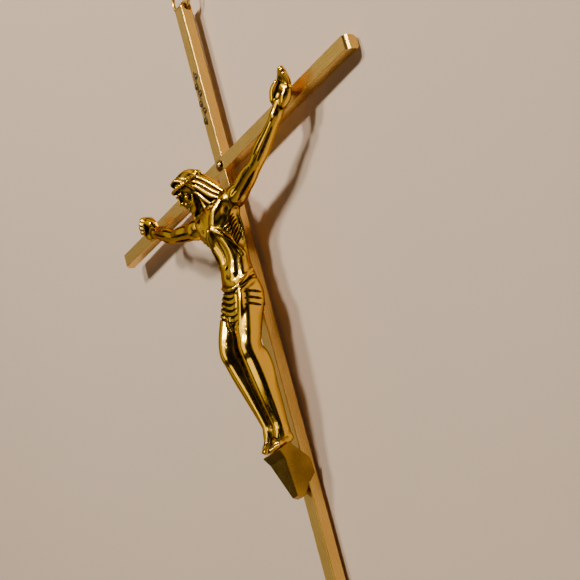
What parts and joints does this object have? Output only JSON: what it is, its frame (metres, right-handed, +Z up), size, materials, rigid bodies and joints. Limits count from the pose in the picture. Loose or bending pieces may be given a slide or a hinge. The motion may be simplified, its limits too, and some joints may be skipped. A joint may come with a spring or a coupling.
{
  "type": "wall crucifix",
  "caption": "Wall crucifix: half-lapped square-bar cross with a hanging ring, a tapering foot block and a cast figure stood off on studs.",
  "frame": {"origin": "centre of the crossing on the flat back of the cross", "axes": "+Z up along the upright, -Y towards the front (the figure), +X to the viewer's right, so +Y is the way the back faces"},
  "size_m": [0.2, 0.0297, 0.3165],
  "materials": {
    "bar_brass": "satin, brushed along the bar",
    "pin_brass": "polished",
    "fastener_brass": "turned",
    "ring_brass": "polished wire",
    "block_brass": "satin, darkened",
    "figure_gold": "highly polished with darkened recesses"
  },
  "bodies": {
    "cross": {"upright_bar": "bar_brass", "cross_bar": "bar_brass", "crossing_pin": "pin_brass", "stud_nuts": "fastener_brass", "foot_block": "block_brass", "block_screw": "fastener_brass", "corpus_body": "figure_gold", "left_arm": "figure_gold", "right_arm": "figure_gold", "hand_studs": "fastener_brass", "foot_stud": "fastener_brass"},
    "ring": {"hanging_ring": "ring_brass"}
  },
  "joints": [
    {"name": "ring_swing", "type": "hinge", "parent": "cross", "child": "ring", "pos_m": [0, -0.00317, 0.081], "axis": [1, 0, 0], "range_deg": [-155, 155]}
  ]
}
